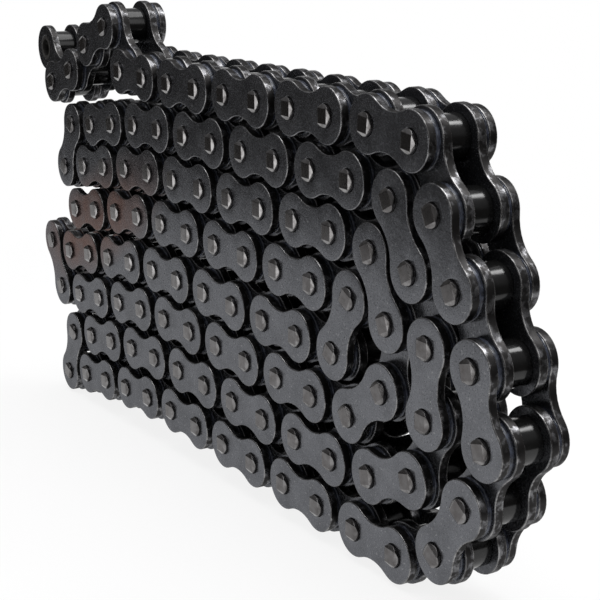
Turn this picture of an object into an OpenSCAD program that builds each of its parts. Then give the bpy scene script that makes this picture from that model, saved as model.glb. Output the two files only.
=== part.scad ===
// Sealed roller chain for a motorcycle, folded back and forth into a standing coil.
// The loose end stands up at the top left and loops over.
// Millimetres. +X runs along the rows toward the near end, +Y along the pins away from
// the near plates, +Z up. Origin: centre of the foot, on the floor under the lowest row.

/* [Links] */
// distance between neighbouring pin centres
pitch = 15.875; // [15.4:0.005:16.4]
// free gap between the round ends of neighbouring inner plates
inner_end_gap = 1.675; // [1.6:0.025:2.4]
// how far an outer plate's round end stays inside an inner plate's
outer_setback = 0.6; // [0.5:0.05:1.2]
// how far the waist dips below the round ends, inner plate
inner_waist_dip = 2.1; // [1.7:0.1:2.4]
// how far the waist dips below the round ends, outer plate
outer_waist_dip = 2.0; // [1.6:0.1:2.3]
// thickness of an inner plate
inner_plate = 2.3; // [1.8:0.1:2.6]
// thickness of an outer plate
outer_plate = 2.1; // [1.6:0.1:2.6]

/* [Joints] */
// clear width between the two inner plates of a link
inner_width = 6.35; // [5.5:0.05:9.6]
// space between an inner and an outer plate, where the seal ring sits
seal_space = 1.1; // [0.9:0.05:1.4]
// diameter of a pin
pin_d = 5.24; // [4.8:0.02:5.6]
// how far a pin's end stands out of the outer plate
pin_proud = 0.95; // [0.5:0.05:1.2]
// side of the square face left on a pin's end between its four staked facets
stake_face = 3.4; // [2.6:0.1:4]
// how far down the pin the staked facets reach
stake_depth = 0.5; // [0.3:0.05:0.8]
// wall of a bush
bush_wall = 1.15; // [0.9:0.05:1.25]
// wall of a roller
roller_wall = 1.22; // [0.9:0.02:1.3]
// radial running clearance, pin in bush and bush in roller
run_fit = 0.05; // [0.02:0.01:0.09]
// side play of a roller between the inner plates, each side
roller_play = 0.1; // [0.05:0.05:0.25]
// gap left between a seal ring and the plates, each side
seal_play = 0.05; // [0.03:0.01:0.1]
// how far a seal ring stays inside the outer plate's round end
seal_setback = 0.2; // [0.1:0.05:0.6]
// free space between a pin and the seal ring round it
seal_bore_gap = 0.7; // [0.3:0.05:1]
// radius of the groove run round a seal ring
seal_groove = 0.35; // [0.2:0.05:0.38]
// hair gap that keeps a pressed piece apart from its plate
press_gap = 0.01; // [0.005:0.005:0.03]

/* [Hidden] */
$fn = 64;
// round ends and waists
inner_r = (pitch - inner_end_gap) / 2;
outer_r = inner_r - outer_setback;
inner_waist = inner_r - inner_waist_dip;
outer_waist = outer_r - outer_waist_dip;
// distances from the middle of the chain out along a pin
inner_in = inner_width / 2;
inner_out = inner_in + inner_plate;
outer_in = inner_out + seal_space;
outer_out = outer_in + outer_plate;
pin_end = outer_out + pin_proud;
// radii
pin_r = pin_d / 2;
bush_in_r = pin_r + run_fit;
bush_r = bush_in_r + bush_wall;
roller_in_r = bush_r + run_fit;
roller_r = roller_in_r + roller_wall;
seal_in_r = pin_r + seal_bore_gap;
seal_r = outer_r - seal_setback;
// the groove's centre lies this far outside its ring
groove_out = 0.1;
// the bar that shapes a pin's ends is this much wider than the pin, each side
bar_spare = 0.2;

BLACK_STEEL = [0.16, 0.16, 0.17];
BARE_STEEL = [0.42, 0.4, 0.37];
ROLLER_STEEL = [0.08, 0.08, 0.08];
SEAL_RUBBER = [0.05, 0.05, 0.06];

// The lay, from the buried end to the loose end: [number of links, heading in degrees]
LAY = [
  // fourth row from the top, from the buried end; tight right turn; fifth row
  [1, 1], [9, 0], [1, -115], [10, 180],
  // left turn down to the sixth row
  [1, 171], [1, -66], [1, -4.5], [5, 0.6], [5, 0],
  // second right turn, up to the third row
  [1, 36], [1, 84], [1, 114], [1, 175], [9, 180],
  // left turn up to the second row
  [1, 181], [1, 62], [1, -0.8], [9, 0],
  // third right turn, down to the seventh row
  [1, -6], [1, -63], [1, -66], [1, -90], [1, -109], [1, -164], [1, -175], [4, 180], [5, 180.6],
  // left turn down to the eighth row, the lowest one
  [1, 183], [1, -111], [1, 5], [5, 0.6], [6, 0],
  // outermost right turn, up to the top row
  [1, 23], [1, 57], [1, 68], [1, 106], [1, 114], [1, 116], [1, 120], [1, 174], [6, 180],
  // loose end: lifting off the second row, over a hump, down, and the last link standing up
  [1, 178], [1, 174], [1, 128], [1, 196], [1, 208], [1, 191], [1, 138],
];
LAID = [for (leg = LAY) for (k = [1 : leg[0]]) leg[1]];
links = len(LAID);
// pin centres for a list of headings, starting at the buried end
function walk(h) = [for (i = 0, p = [0, 0]; i <= links;
  p = p + (i < links ? pitch * [cos(h[i]), sin(h[i])] : [0, 0]), i = i + 1) p];
function middle_x(w) = let (x = [for (p = w) p[0]]) (min(x) + max(x)) / 2;
// the rows' left ends settle under their weight: their slope grows to this angle
settle = 7;
settle_from = -pitch;
settle_run = 3 * pitch;
LAID_WALK = walk(LAID);
laid_middle = middle_x(LAID_WALK);
function slope(x) = settle * max(0, min(1, (settle_from - x) / settle_run));
function link_x(i) = (LAID_WALK[i][0] + LAID_WALK[i + 1][0]) / 2 - laid_middle;
SETTLED = [for (i = [0 : links - 1])
  atan2(sin(LAID[i]) + tan(slope(link_x(i))) * cos(LAID[i]), cos(LAID[i]))];
// the coil leans until it stands on these two pin centres' links
left_stand = 77;
right_stand = 89;
SETTLED_WALK = walk(SETTLED);
stand = SETTLED_WALK[right_stand] - SETTLED_WALK[left_stand];
lean = atan2(stand[1], stand[0]);
HEADING = [for (h = SETTLED) h - lean];
WALK = walk(HEADING);
foot = [middle_x(WALK), min([for (p = WALK) p[1]]) - inner_r];
// pin centres, the first at the buried end
PIN = [for (p = WALK) p - foot];
// links that hang loose; the rest lie folded in the coil
loose = 12;
coil_links = links - loose;
function tail_inner(k) = links - 2 * k + 1;
function tail_outer(k) = links - 2 * k;

// puts a piece on pin centre i
module at_pin(i) {
  translate([PIN[i][0], 0, PIN[i][1]]) children();
}

// puts a piece on the middle of link i, along its heading
module at_link(i) {
  mid = (PIN[i] + PIN[i + 1]) / 2;
  translate([mid[0], 0, mid[1]]) rotate([0, -HEADING[i], 0]) children();
}

// a flat outline stood up in the X-Z plane, y0 to y0 + t
module slab(y0, t) {
  translate([0, y0 + t, 0]) rotate([90, 0, 0]) linear_extrude(height = t) children();
}

// figure-eight outline: two round ends joined by a waist whose arcs run tangent into them
module plate_outline(end_r, waist, hole_r) {
  arc = ((pitch / 2) ^ 2 + waist ^ 2 - end_r ^ 2) / (2 * (end_r - waist));
  share = end_r / (end_r + arc);
  difference() {
    union() {
      translate([-pitch / 2, 0]) circle(r = end_r);
      translate([pitch / 2, 0]) circle(r = end_r);
      square([pitch * (1 - share), 2 * (waist + arc) * share], center = true);
    }
    translate([0, waist + arc]) circle(r = arc);
    translate([0, -waist - arc]) circle(r = arc);
    translate([-pitch / 2, 0]) circle(r = hole_r);
    translate([pitch / 2, 0]) circle(r = hole_r);
  }
}

// one plate of link i; side -1 is the near one, 1 the far one
module inner_side(i, side) {
  at_link(i) slab(side > 0 ? inner_in : -inner_out, inner_plate)
    plate_outline(inner_r, inner_waist, bush_r + press_gap);
}

module outer_side(i, side) {
  at_link(i) slab(side > 0 ? outer_in : -outer_out, outer_plate)
    plate_outline(outer_r, outer_waist, pin_r + press_gap);
}

module inner_plates(i) {
  inner_side(i, -1);
  inner_side(i, 1);
}

module outer_plates(i) {
  outer_side(i, -1);
  outer_side(i, 1);
}

// a bar along a pin, drawn in at both ends to the width of the staked face
module staked_bar() {
  face = stake_face / 2;
  wide = pin_r + bar_spare;
  slope_out = stake_depth * (wide - face) / (pin_r - face);
  translate([0, 0, -wide]) linear_extrude(height = 2 * wide)
    polygon([[-face, -pin_end], [face, -pin_end], [wide, slope_out - pin_end], [wide, pin_end - slope_out],
      [face, pin_end], [-face, pin_end], [-wide, pin_end - slope_out], [-wide, slope_out - pin_end]]);
}

// a pin whose ends are staked with four flat facets, square to the outer link that carries it
module pin(i) {
  at_pin(i) rotate([0, -HEADING[i - i % 2], 0]) intersection() {
    rotate([90, 0, 0]) cylinder(r = pin_r, h = 2 * pin_end, center = true);
    staked_bar();
    rotate([0, 90, 0]) staked_bar();
  }
}

module pins(i) {
  pin(i);
  pin(i + 1);
}

// a bush, flush with the outside of both inner plates
module bush(i) {
  at_pin(i) rotate([90, 0, 0]) rotate_extrude()
    translate([bush_in_r, -inner_out]) square([bush_wall, 2 * inner_out]);
}

module bushes(i) {
  bush(i);
  bush(i + 1);
}

// a roller, free to spin on its bush
module roller(i) {
  half = inner_in - roller_play;
  at_pin(i) rotate([90, 0, 0]) rotate_extrude()
    translate([roller_in_r, -half]) square([roller_wall, 2 * half]);
}

// a seal ring round pin i, with a groove run round its outside
module seal(i, side) {
  thick = seal_space - 2 * seal_play;
  at_pin(i) translate([0, side * (inner_out + seal_space / 2), 0]) rotate([90, 0, 0])
    rotate_extrude() difference() {
      translate([seal_in_r, -thick / 2]) square([seal_r - seal_in_r, thick]);
      translate([seal_r + groove_out, 0]) circle(r = seal_groove);
    }
}

module seals(i) {
  for (side = [-1, 1]) {
    seal(i, side);
    seal(i + 1, side);
  }
}

// folded coil; the pin at its buried end carries no link, so it has no seal
module coil_outer_plates_near() color(BLACK_STEEL)
  for (i = [0 : 2 : coil_links - 1]) outer_side(i, -1);
module coil_outer_plates_far() color(BLACK_STEEL)
  for (i = [0 : 2 : coil_links - 1]) outer_side(i, 1);
module coil_inner_plates_near() color(BLACK_STEEL)
  for (i = [1 : 2 : coil_links - 1]) inner_side(i, -1);
module coil_inner_plates_far() color(BLACK_STEEL)
  for (i = [1 : 2 : coil_links - 1]) inner_side(i, 1);
module coil_pins() color(BARE_STEEL)
  for (i = [0 : coil_links - 1]) pin(i);
module coil_bushes() color(BARE_STEEL)
  for (i = [1 : coil_links]) bush(i);
module coil_rollers() color(ROLLER_STEEL)
  for (i = [1 : coil_links]) roller(i);
module coil_seals_near() color(SEAL_RUBBER)
  for (i = [1 : coil_links - 1]) seal(i, -1);
module coil_seals_far() color(SEAL_RUBBER)
  for (i = [1 : coil_links - 1]) seal(i, 1);

// loose end, counted from its open bush: inner link, then outer link, six times over
module inner_link_1_plates() color(BLACK_STEEL) inner_plates(tail_inner(1));
module inner_link_1_bushes() color(BARE_STEEL) bushes(tail_inner(1));
module inner_link_1_roller_a() color(ROLLER_STEEL) roller(tail_inner(1) + 1);
module inner_link_1_roller_b() color(ROLLER_STEEL) roller(tail_inner(1));
module outer_link_1_plates() color(BLACK_STEEL) outer_plates(tail_outer(1));
module outer_link_1_pins() color(BARE_STEEL) pins(tail_outer(1));
module outer_link_1_seals() color(SEAL_RUBBER) seals(tail_outer(1));
module inner_link_2_plates() color(BLACK_STEEL) inner_plates(tail_inner(2));
module inner_link_2_bushes() color(BARE_STEEL) bushes(tail_inner(2));
module inner_link_2_roller_a() color(ROLLER_STEEL) roller(tail_inner(2) + 1);
module inner_link_2_roller_b() color(ROLLER_STEEL) roller(tail_inner(2));
module outer_link_2_plates() color(BLACK_STEEL) outer_plates(tail_outer(2));
module outer_link_2_pins() color(BARE_STEEL) pins(tail_outer(2));
module outer_link_2_seals() color(SEAL_RUBBER) seals(tail_outer(2));
module inner_link_3_plates() color(BLACK_STEEL) inner_plates(tail_inner(3));
module inner_link_3_bushes() color(BARE_STEEL) bushes(tail_inner(3));
module inner_link_3_roller_a() color(ROLLER_STEEL) roller(tail_inner(3) + 1);
module inner_link_3_roller_b() color(ROLLER_STEEL) roller(tail_inner(3));
module outer_link_3_plates() color(BLACK_STEEL) outer_plates(tail_outer(3));
module outer_link_3_pins() color(BARE_STEEL) pins(tail_outer(3));
module outer_link_3_seals() color(SEAL_RUBBER) seals(tail_outer(3));
module inner_link_4_plates() color(BLACK_STEEL) inner_plates(tail_inner(4));
module inner_link_4_bushes() color(BARE_STEEL) bushes(tail_inner(4));
module inner_link_4_roller_a() color(ROLLER_STEEL) roller(tail_inner(4) + 1);
module inner_link_4_roller_b() color(ROLLER_STEEL) roller(tail_inner(4));
module outer_link_4_plates() color(BLACK_STEEL) outer_plates(tail_outer(4));
module outer_link_4_pins() color(BARE_STEEL) pins(tail_outer(4));
module outer_link_4_seals() color(SEAL_RUBBER) seals(tail_outer(4));
module inner_link_5_plates() color(BLACK_STEEL) inner_plates(tail_inner(5));
module inner_link_5_bushes() color(BARE_STEEL) bushes(tail_inner(5));
module inner_link_5_roller_a() color(ROLLER_STEEL) roller(tail_inner(5) + 1);
module inner_link_5_roller_b() color(ROLLER_STEEL) roller(tail_inner(5));
module outer_link_5_plates() color(BLACK_STEEL) outer_plates(tail_outer(5));
module outer_link_5_pins() color(BARE_STEEL) pins(tail_outer(5));
module outer_link_5_seals() color(SEAL_RUBBER) seals(tail_outer(5));
module inner_link_6_plates() color(BLACK_STEEL) inner_plates(tail_inner(6));
module inner_link_6_bushes() color(BARE_STEEL) bushes(tail_inner(6));
module inner_link_6_roller_a() color(ROLLER_STEEL) roller(tail_inner(6) + 1);
module inner_link_6_roller_b() color(ROLLER_STEEL) roller(tail_inner(6));
module outer_link_6_plates() color(BLACK_STEEL) outer_plates(tail_outer(6));
module outer_link_6_pins() color(BARE_STEEL) pins(tail_outer(6));
module outer_link_6_seals() color(SEAL_RUBBER) seals(tail_outer(6));

coil_outer_plates_near();
coil_outer_plates_far();
coil_inner_plates_near();
coil_inner_plates_far();
coil_pins();
coil_bushes();
coil_rollers();
coil_seals_near();
coil_seals_far();
inner_link_1_plates();
inner_link_1_bushes();
inner_link_1_roller_a();
inner_link_1_roller_b();
outer_link_1_plates();
outer_link_1_pins();
outer_link_1_seals();
inner_link_2_plates();
inner_link_2_bushes();
inner_link_2_roller_a();
inner_link_2_roller_b();
outer_link_2_plates();
outer_link_2_pins();
outer_link_2_seals();
inner_link_3_plates();
inner_link_3_bushes();
inner_link_3_roller_a();
inner_link_3_roller_b();
outer_link_3_plates();
outer_link_3_pins();
outer_link_3_seals();
inner_link_4_plates();
inner_link_4_bushes();
inner_link_4_roller_a();
inner_link_4_roller_b();
outer_link_4_plates();
outer_link_4_pins();
outer_link_4_seals();
inner_link_5_plates();
inner_link_5_bushes();
inner_link_5_roller_a();
inner_link_5_roller_b();
outer_link_5_plates();
outer_link_5_pins();
outer_link_5_seals();
inner_link_6_plates();
inner_link_6_bushes();
inner_link_6_roller_a();
inner_link_6_roller_b();
outer_link_6_plates();
outer_link_6_pins();
outer_link_6_seals();
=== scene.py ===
import math

import bpy
from mathutils import Matrix, Vector

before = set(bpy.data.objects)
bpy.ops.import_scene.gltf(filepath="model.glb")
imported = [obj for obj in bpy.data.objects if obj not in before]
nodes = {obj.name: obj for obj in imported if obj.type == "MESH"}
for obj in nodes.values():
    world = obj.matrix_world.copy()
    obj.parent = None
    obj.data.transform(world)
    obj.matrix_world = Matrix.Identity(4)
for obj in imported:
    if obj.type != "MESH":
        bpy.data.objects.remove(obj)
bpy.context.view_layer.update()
scene = bpy.context.scene

# plates: noise patterns as scale per metre, detail and roughness
BLOTCH = (140.0, 5.0, 0.6)
GRAIN = (3200.0, 3.0, 0.6)
DUST = (1400.0, 1.0, 0.5)
PITS = (1500.0, 2.0, 0.5)
HAMMER = (1100.0, 3.0, 0.55)
MOTTLE = (430.0, 4.0, 0.62)
# plates: colours, each with the band of a noise value over which it takes hold
FACE_DARK = (0.107, 0.110, 0.120)
FACE_PALE = (0.152, 0.156, 0.170)
FACE_BAND = (0.35, 0.70)
SPECK = (0.220, 0.224, 0.240)
SPECK_BAND = (0.50, 0.70)
SPECK_SHARE = (0.0, 0.42)
DUST_COLOUR = (0.330, 0.332, 0.340)
DUST_BAND = (0.68, 0.73)
DUST_SHARE = (0.0, 0.5)
# the rim: dark oil, with pale patches that are painted highlights
RIM_DARK = (0.026, 0.025, 0.025)
RIM_PAINTED_GLINT = (0.155, 0.155, 0.162)
RIM_BAND = (0.50, 0.62)
# the broken edge: worn bare, and painted pale along its length as an edge highlight
WORN_DARK = (0.090, 0.088, 0.088)
WORN_PALE_HIGHLIGHT = (0.310, 0.306, 0.305)
WORN_BAND = (0.44, 0.60)
# plates: gloss and relief
PLATE_METALLIC = 0.86
FACE_GLOSS_BAND = (0.3, 0.7)
FACE_ROUGHNESS = (0.21, 0.27)
PIT_BAND = (0.54, 0.66)
PIT_ROUGHNESS = (0.0, 0.12)
RIM_GLOSS_BAND = (0.4, 0.7)
RIM_ROUGHNESS = (0.40, 0.20)
GRAIN_HEIGHT = 0.4
MOTTLE_HEIGHT = 2.5
PLATE_BUMP = 0.12
# how bright the black finish stays at a grazing angle
GRAZING_TINT = (0.52, 0.52, 0.52, 1.0)
# how bright a plate's face is; the inner plates' faces are made darker as painted shade, for the shade
# between the outer plates
INNER_SHADE_TONE = 0.72
OUTER_TONE = 1.0

# the faint reddish tint: its middle and its reach along, across and up, in metres, and its tilt
REDDISH_TINT_CENTRE = (-0.075, -0.009, 0.0622)
REDDISH_TINT_REACH = (0.060, 0.012, 0.0165)
REDDISH_TINT_TILT = (0.0, math.radians(-20), 0.0)
REDDISH_TINT = (0.138, 0.083, 0.071)
REDDISH_TINT_BAND = (0.38, 0.60)
REDDISH_TINT_SHARE = (0.62, 1.0)
# where a spot starts to fade and where it ends, as shares of its reach
SPOT_FADE = (0.45, 1.0)

# pins
STAIN = (420.0, 4.0, 0.6)
PIN_DARK = (0.083, 0.077, 0.076)
PIN_PALE = (0.132, 0.128, 0.129)
PIN_BAND = (0.35, 0.68)
FACET_DARK = (0.103, 0.098, 0.097)
FACET_PALE = (0.222, 0.216, 0.216)
FACET_BAND = (0.40, 0.60)
PIN_GLOSS_BAND = (0.3, 0.7)
PIN_ROUGHNESS = (0.27, 0.17)

# rollers
ROLLER_FILM = (300.0, 3.0, 0.5)
ROLLER_DARK = (0.004, 0.004, 0.004)
ROLLER_PALE = (0.008, 0.008, 0.008)
ROLLER_SHINE = 0.36
ROLLER_GLOSS_BAND = (0.3, 0.7)
ROLLER_ROUGHNESS = (0.13, 0.19)

# bushes
BUSH_FILM = (350.0, 3.0, 0.5)
BUSH_DARK = (0.06, 0.057, 0.055)
BUSH_PALE = (0.13, 0.125, 0.12)
BUSH_METALLIC = 0.8
BUSH_ROUGHNESS = 0.35

# seal rings: dark bluish rubber, with pale bluish patches painted on as its sheen
SEAL_FILM = (700.0, 4.0, 0.65)
SEAL_DARK = (0.018, 0.020, 0.028)
SEAL_PAINTED_SHEEN = (0.085, 0.096, 0.130)
SEAL_BAND = (0.4, 0.65)
SEAL_GLOSS_BAND = (0.35, 0.65)
SEAL_ROUGHNESS = (0.30, 0.16)
SEAL_BUMP = 0.15

# bands of the sideways part of a surface's normal, which is 1 on a plate's face and 0 on its rim
RIM_TURN = (0.35, 0.15)
EDGE_TURN = (0.97, 0.80)
FACET_TURN = (0.97, 0.90)
# height of full relief, in metres
RELIEF = 0.0002

# broken edges: their width in metres, and the least angle in degrees that is broken
EDGE = {
    "inner_plate": (0.00028, 50),
    "outer_plate": (0.00028, 50),
    "pin": (0.00006, 25),
    "roller": (0.00020, 50),
}
EDGE_SEGMENTS = 2
# corners of neighbouring faces closer than this are one corner, in metres
WELD_WITHIN = 2e-6
# a high weight keeps the flat faces flat beside their broken edges
FLAT_WEIGHT = 100

# the sheet that the chain stands on: its extent in metres, its colour, and how white it looks near the chain
SHEET_X = (-1.30, 0.22)
SHEET_Y = (-0.225, 1.30)
SHEET_Z = -0.0002
SHEET_COLOUR = (0.86, 0.86, 0.86)
SHEET_GLOW = 0.85
# the sheet turns pure white between these distances from the middle of the chain's foot, in metres
WHITENING = (0.20, 0.45)
WHITE = (1.0, 1.0, 1.0)
# the dim room: its colours, and the band of heights between them
HORIZON = (0.056, 0.052, 0.049)
OVERHEAD = (0.45, 0.45, 0.46)
ROOM_RISE = (0.05, 0.8)
# level direction from the camera to the white backdrop, and how near to it a ray has to run
BACKDROP = (-0.8605, 0.5095, 0.0)
BACKDROP_FADE = (0.80, 0.95)

# lamps: place, point they face, width and height in metres, power in watts
LAMPS = {
    "top_soft": ((0.10, 0.05, 0.95), (0.0, 0.0, 0.06), (0.9, 0.9), 9.0),
    "right_soft": ((0.85, 0.25, 0.55), (0.05, 0.0, 0.06), (0.5, 0.5), 1.1),
    "back_spark": ((0.30, 0.62, 0.81), (0.05, 0.0, 0.06), (0.22, 0.40), 2.6),
    "front_soft": ((-0.05, -1.00, -0.08), (0.0, 0.0, 0.08), (0.45, 0.45), 1.6),
}

# camera at the photograph's angle; metres, millimetres for the lens
CAMERA_PLACE = (0.31396, -0.16695, 0.12735)
CAMERA_AHEAD = (-0.83876, 0.49920, -0.21747)
CAMERA_ROLL = math.radians(-1.74)
LENS = 81.1
SENSOR = 36.0
CLIP = (0.01, 20.0)


# node helpers
def empty_tree(owner):
    owner.use_nodes = True
    owner.node_tree.nodes.clear()
    return owner.node_tree


def new_material(name):
    mat = bpy.data.materials.new(name)
    tree = empty_tree(mat)
    out = tree.nodes.new("ShaderNodeOutputMaterial")
    bsdf = tree.nodes.new("ShaderNodeBsdfPrincipled")
    tree.links.new(bsdf.outputs["BSDF"], out.inputs["Surface"])
    return mat, tree, bsdf


def noise(tree, pattern):
    coord = tree.nodes.new("ShaderNodeTexCoord")
    tex = tree.nodes.new("ShaderNodeTexNoise")
    for key, value in zip(("Scale", "Detail", "Roughness"), pattern):
        tex.inputs[key].default_value = value
    tree.links.new(coord.outputs["Object"], tex.inputs["Vector"])
    return tex.outputs["Fac"]


def remap(tree, value, band, result=(0.0, 1.0)):
    node = tree.nodes.new("ShaderNodeMapRange")
    for key, limit in zip(("From Min", "From Max", "To Min", "To Max"), (*band, *result)):
        node.inputs[key].default_value = limit
    tree.links.new(value, node.inputs["Value"])
    return node.outputs["Result"]


def math_node(tree, operation, a, b):
    node = tree.nodes.new("ShaderNodeMath")
    node.operation = operation
    for socket, value in zip(node.inputs, (a, b)):
        if isinstance(value, float):
            socket.default_value = value
        else:
            tree.links.new(value, socket)
    return node.outputs["Value"]


def mix_colour(tree, share, a, b):
    node = tree.nodes.new("ShaderNodeMix")
    node.data_type = "RGBA"
    tree.links.new(share, node.inputs["Factor"])
    for socket, value in ((node.inputs[6], a), (node.inputs[7], b)):
        if isinstance(value, tuple):
            socket.default_value = (*value, 1.0)
        else:
            tree.links.new(value, socket)
    return node.outputs[2]


def mix_value(tree, share, a, b):
    node = tree.nodes.new("ShaderNodeMix")
    node.data_type = "FLOAT"
    tree.links.new(share, node.inputs[0])
    tree.links.new(a, node.inputs[2])
    tree.links.new(b, node.inputs[3])
    return node.outputs[0]


def mix_shader(tree, share, a, b):
    node = tree.nodes.new("ShaderNodeMixShader")
    for socket, value in zip(node.inputs, (share, a, b)):
        tree.links.new(value, socket)
    return node.outputs["Shader"]


def plain_shader(tree, kind, colour):
    node = tree.nodes.new(kind)
    node.inputs["Color"].default_value = (*colour, 1.0)
    return node.outputs[0]


def length_of(tree, vector):
    node = tree.nodes.new("ShaderNodeVectorMath")
    node.operation = "LENGTH"
    tree.links.new(vector, node.inputs[0])
    return node.outputs["Value"]


def bump(tree, bsdf, height, strength):
    node = tree.nodes.new("ShaderNodeBump")
    node.inputs["Strength"].default_value = strength
    node.inputs["Distance"].default_value = RELIEF
    tree.links.new(height, node.inputs["Height"])
    tree.links.new(node.outputs["Normal"], bsdf.inputs["Normal"])


# finishes
def shade(colour, tone):
    return tuple(tone * c for c in colour)


def two_tone(tree, value, band, dark, pale):
    return mix_colour(tree, remap(tree, value, band), dark, pale)


def bent_away(tree, band):
    """How far a surface turns from the flat sides of the chain: 0 before the band, 1 past it."""
    geometry = tree.nodes.new("ShaderNodeNewGeometry")
    split = tree.nodes.new("ShaderNodeSeparateXYZ")
    tree.links.new(geometry.outputs["True Normal"], split.inputs["Vector"])
    return remap(tree, math_node(tree, "ABSOLUTE", split.outputs["Y"], 0.0), band)


def short_of_rim(tree, band, rim_share):
    """1 where a surface has left the flat sides and hasn't reached the rim."""
    return math_node(tree, "MULTIPLY", bent_away(tree, band), math_node(tree, "SUBTRACT", 1.0, rim_share))


def near_spot(tree, centre, reach, tilt):
    """1 at a spot of the rest pose, fading to 0 at an ellipsoid round it."""
    coord = tree.nodes.new("ShaderNodeTexCoord")
    place = tree.nodes.new("ShaderNodeMapping")
    place.vector_type = "TEXTURE"
    place.inputs["Location"].default_value = centre
    place.inputs["Rotation"].default_value = tilt
    place.inputs["Scale"].default_value = reach
    tree.links.new(coord.outputs["Object"], place.inputs["Vector"])
    return remap(tree, length_of(tree, place.outputs["Vector"]), SPOT_FADE, (1.0, 0.0))


def plate_face(tree, tone, blotch, grain):
    """Satin black with specks and dust, and a faint reddish tint in a spot round one end."""
    face = two_tone(tree, blotch, FACE_BAND, shade(FACE_DARK, tone), shade(FACE_PALE, tone))
    face = mix_colour(tree, remap(tree, grain, SPECK_BAND, SPECK_SHARE), face, shade(SPECK, tone))
    dust = remap(tree, noise(tree, DUST), DUST_BAND, DUST_SHARE)
    face = mix_colour(tree, dust, face, shade(DUST_COLOUR, tone))
    reddish_tint = math_node(tree, "MULTIPLY", near_spot(tree, REDDISH_TINT_CENTRE, REDDISH_TINT_REACH, REDDISH_TINT_TILT),
                     remap(tree, blotch, REDDISH_TINT_BAND, REDDISH_TINT_SHARE))
    return mix_colour(tree, reddish_tint, face, REDDISH_TINT)


def plate_finish(name, tone):
    mat, tree, bsdf = new_material(name)
    blotch = noise(tree, BLOTCH)
    grain = noise(tree, GRAIN)
    mottle = noise(tree, MOTTLE)
    rim_share = bent_away(tree, RIM_TURN)
    # the rim is oiled and dark, with pale patches painted on as highlights, and the broken edge is worn bare
    # and painted pale along its length as an edge highlight
    rim = two_tone(tree, mottle, RIM_BAND, RIM_DARK, RIM_PAINTED_GLINT)
    worn_and_highlit = two_tone(tree, mottle, WORN_BAND, WORN_DARK, WORN_PALE_HIGHLIGHT)
    colour = mix_colour(tree, rim_share, plate_face(tree, tone, blotch, grain), rim)
    colour = mix_colour(tree, short_of_rim(tree, EDGE_TURN, rim_share), colour, worn_and_highlit)
    tree.links.new(colour, bsdf.inputs["Base Color"])
    bsdf.inputs["Metallic"].default_value = PLATE_METALLIC
    bsdf.inputs["Specular Tint"].default_value = GRAZING_TINT
    face_rough = math_node(tree, "ADD", remap(tree, blotch, FACE_GLOSS_BAND, FACE_ROUGHNESS),
                           remap(tree, noise(tree, PITS), PIT_BAND, PIT_ROUGHNESS))
    rim_rough = remap(tree, mottle, RIM_GLOSS_BAND, RIM_ROUGHNESS)
    tree.links.new(mix_value(tree, rim_share, face_rough, rim_rough), bsdf.inputs["Roughness"])
    grain_height = math_node(tree, "MULTIPLY", grain, GRAIN_HEIGHT)
    face_height = math_node(tree, "ADD", grain_height, noise(tree, HAMMER))
    rim_height = math_node(tree, "MULTIPLY", mottle, MOTTLE_HEIGHT)
    bump(tree, bsdf, mix_value(tree, rim_share, face_height, rim_height), PLATE_BUMP)
    return mat


def pin_finish():
    mat, tree, bsdf = new_material("bare_pin_steel")
    stain = noise(tree, STAIN)
    # the staked facets are worn bright, the sides are not
    facet_share = short_of_rim(tree, FACET_TURN, bent_away(tree, RIM_TURN))
    face = two_tone(tree, stain, PIN_BAND, PIN_DARK, PIN_PALE)
    facet = two_tone(tree, stain, FACET_BAND, FACET_DARK, FACET_PALE)
    tree.links.new(mix_colour(tree, facet_share, face, facet), bsdf.inputs["Base Color"])
    bsdf.inputs["Metallic"].default_value = 1.0
    tree.links.new(remap(tree, stain, PIN_GLOSS_BAND, PIN_ROUGHNESS), bsdf.inputs["Roughness"])
    return mat


def roller_finish():
    mat, tree, bsdf = new_material("black_roller")
    film = noise(tree, ROLLER_FILM)
    tree.links.new(mix_colour(tree, film, ROLLER_DARK, ROLLER_PALE), bsdf.inputs["Base Color"])
    bsdf.inputs["Specular IOR Level"].default_value = ROLLER_SHINE
    tree.links.new(remap(tree, film, ROLLER_GLOSS_BAND, ROLLER_ROUGHNESS), bsdf.inputs["Roughness"])
    return mat


def bush_finish():
    mat, tree, bsdf = new_material("bush_steel")
    film = noise(tree, BUSH_FILM)
    tree.links.new(mix_colour(tree, film, BUSH_DARK, BUSH_PALE), bsdf.inputs["Base Color"])
    bsdf.inputs["Metallic"].default_value = BUSH_METALLIC
    bsdf.inputs["Roughness"].default_value = BUSH_ROUGHNESS
    return mat


def seal_finish():
    mat, tree, bsdf = new_material("seal_rubber")
    film = noise(tree, SEAL_FILM)
    # pale bluish patches over the dark rubber: painted sheen
    tree.links.new(two_tone(tree, film, SEAL_BAND, SEAL_DARK, SEAL_PAINTED_SHEEN), bsdf.inputs["Base Color"])
    tree.links.new(remap(tree, film, SEAL_GLOSS_BAND, SEAL_ROUGHNESS), bsdf.inputs["Roughness"])
    bump(tree, bsdf, film, SEAL_BUMP)
    return mat


# each kind of piece: its finish and its material slot
FINISHES = {
    # the inner plates take the darker tone: painted shade
    "inner_plate": (plate_finish("shaded_black_inner_plate_steel", INNER_SHADE_TONE), "plate"),
    "outer_plate": (plate_finish("black_outer_plate_steel", OUTER_TONE), "plate"),
    "pin": (pin_finish(), "pin"),
    "roller": (roller_finish(), "roller"),
    "bush": (bush_finish(), "pin"),
    "seal": (seal_finish(), "seal"),
}


def kind_of(name):
    if "plate" in name:
        return "inner_plate" if "inner" in name else "outer_plate"
    return next(kind for kind in ("roller", "bush", "seal", "pin") if kind in name)


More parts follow.
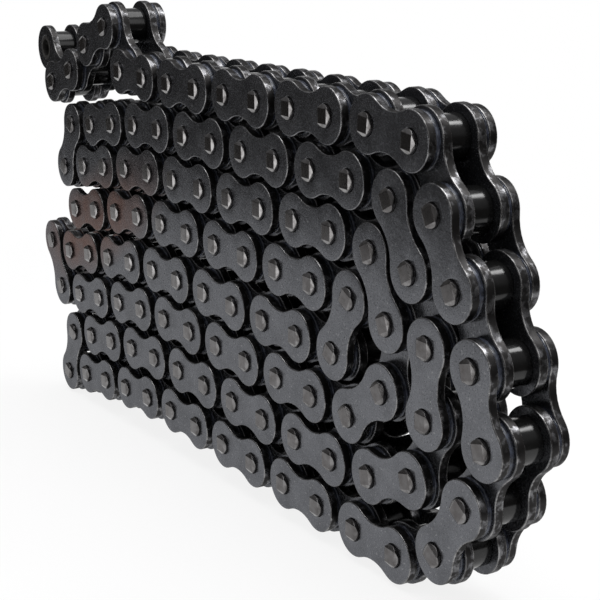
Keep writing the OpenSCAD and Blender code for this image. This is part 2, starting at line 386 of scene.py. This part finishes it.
def break_edges(obj, width, least_angle):
    weld = obj.modifiers.new("weld", "WELD")
    weld.merge_threshold = WELD_WITHIN
    edge = obj.modifiers.new("edge", "BEVEL")
    edge.width = width
    edge.segments = EDGE_SEGMENTS
    edge.limit_method = "ANGLE"
    edge.angle_limit = math.radians(least_angle)
    edge.use_clamp_overlap = False
    flats = obj.modifiers.new("flats", "WEIGHTED_NORMAL")
    flats.weight = FLAT_WEIGHT


for name, obj in nodes.items():
    kind = kind_of(name)
    mat, slot_name = FINISHES[kind]
    obj.data.materials.clear()
    obj.data.materials.append(mat)
    if kind in EDGE:
        break_edges(obj, *EDGE[kind])


# floor, world, lamps and camera
def ray_masks(tree):
    """Two masks: camera rays, and camera, glossy and transmission rays together."""
    path = tree.nodes.new("ShaderNodeLightPath")
    camera_ray = path.outputs["Is Camera Ray"]
    mirrored = math_node(tree, "MAXIMUM", path.outputs["Is Glossy Ray"], path.outputs["Is Transmission Ray"])
    return camera_ray, math_node(tree, "MAXIMUM", camera_ray, mirrored)


def sheet_finish():
    """Pale and shadowed near the chain, pure white away from it, so no line shows against the backdrop."""
    mat = bpy.data.materials.new("pale_floor")
    tree = empty_tree(mat)
    coord = tree.nodes.new("ShaderNodeTexCoord")
    distance = length_of(tree, coord.outputs["Object"])
    whiteness = remap(tree, distance, WHITENING, (SHEET_GLOW, 1.0))
    _, seen = ray_masks(tree)
    surface = mix_shader(tree, math_node(tree, "MULTIPLY", seen, whiteness),
                         plain_shader(tree, "ShaderNodeBsdfDiffuse", SHEET_COLOUR),
                         plain_shader(tree, "ShaderNodeEmission", WHITE))
    out = tree.nodes.new("ShaderNodeOutputMaterial")
    tree.links.new(surface, out.inputs["Surface"])
    return mat


def lay_sheet():
    (left, right), (front, back) = SHEET_X, SHEET_Y
    corners = [(x, y, SHEET_Z) for x, y in ((left, front), (right, front), (right, back), (left, back))]
    mesh = bpy.data.meshes.new("floor")
    mesh.from_pydata(corners, [], [(0, 1, 2, 3)])
    mesh.materials.append(sheet_finish())
    floor = bpy.data.objects.new("floor", mesh)
    scene.collection.objects.link(floor)
    return floor


def build_world():
    """White to the camera; metal mirrors the white backdrop behind the chain, and the dim room elsewhere."""
    world = bpy.data.worlds.new("studio")
    tree = empty_tree(world)
    direction = tree.nodes.new("ShaderNodeTexCoord").outputs["Generated"]
    split = tree.nodes.new("ShaderNodeSeparateXYZ")
    tree.links.new(direction, split.inputs["Vector"])
    room = tree.nodes.new("ShaderNodeBackground")
    tree.links.new(two_tone(tree, split.outputs["Z"], ROOM_RISE, HORIZON, OVERHEAD), room.inputs["Color"])
    toward = tree.nodes.new("ShaderNodeVectorMath")
    toward.operation = "DOT_PRODUCT"
    tree.links.new(direction, toward.inputs[0])
    toward.inputs[1].default_value = BACKDROP
    on_backdrop = remap(tree, toward.outputs["Value"], BACKDROP_FADE)
    camera_ray, seen = ray_masks(tree)
    white_share = math_node(tree, "MAXIMUM", camera_ray, math_node(tree, "MULTIPLY", seen, on_backdrop))
    surface = mix_shader(tree, white_share, room.outputs["Background"],
                         plain_shader(tree, "ShaderNodeBackground", WHITE))
    out = tree.nodes.new("ShaderNodeOutputWorld")
    tree.links.new(surface, out.inputs["Surface"])
    return world


def hang_lamp(name, place, aim, size, power):
    data = bpy.data.lights.new(name, "AREA")
    data.energy = power
    data.shape = "RECTANGLE"
    data.size, data.size_y = size
    lamp = bpy.data.objects.new(name, data)
    scene.collection.objects.link(lamp)
    lamp.location = place
    lamp.rotation_mode = "QUATERNION"
    lamp.rotation_quaternion = (Vector(aim) - Vector(place)).to_track_quat("-Z", "Y")


def set_camera():
    data = bpy.data.cameras.new("camera")
    data.sensor_width = SENSOR
    data.lens = LENS
    data.clip_start, data.clip_end = CLIP
    camera = bpy.data.objects.new("camera", data)
    scene.collection.objects.link(camera)
    facing = Vector(CAMERA_AHEAD).to_track_quat("-Z", "Y").to_matrix().to_4x4()
    camera.matrix_world = Matrix.Translation(CAMERA_PLACE) @ facing @ Matrix.Rotation(CAMERA_ROLL, 4, "Z")
    return camera


floor = lay_sheet()
scene.world = build_world()
for name, lamp in LAMPS.items():
    hang_lamp(name, *lamp)
scene.camera = set_camera()
scene.view_settings.view_transform = "Standard"
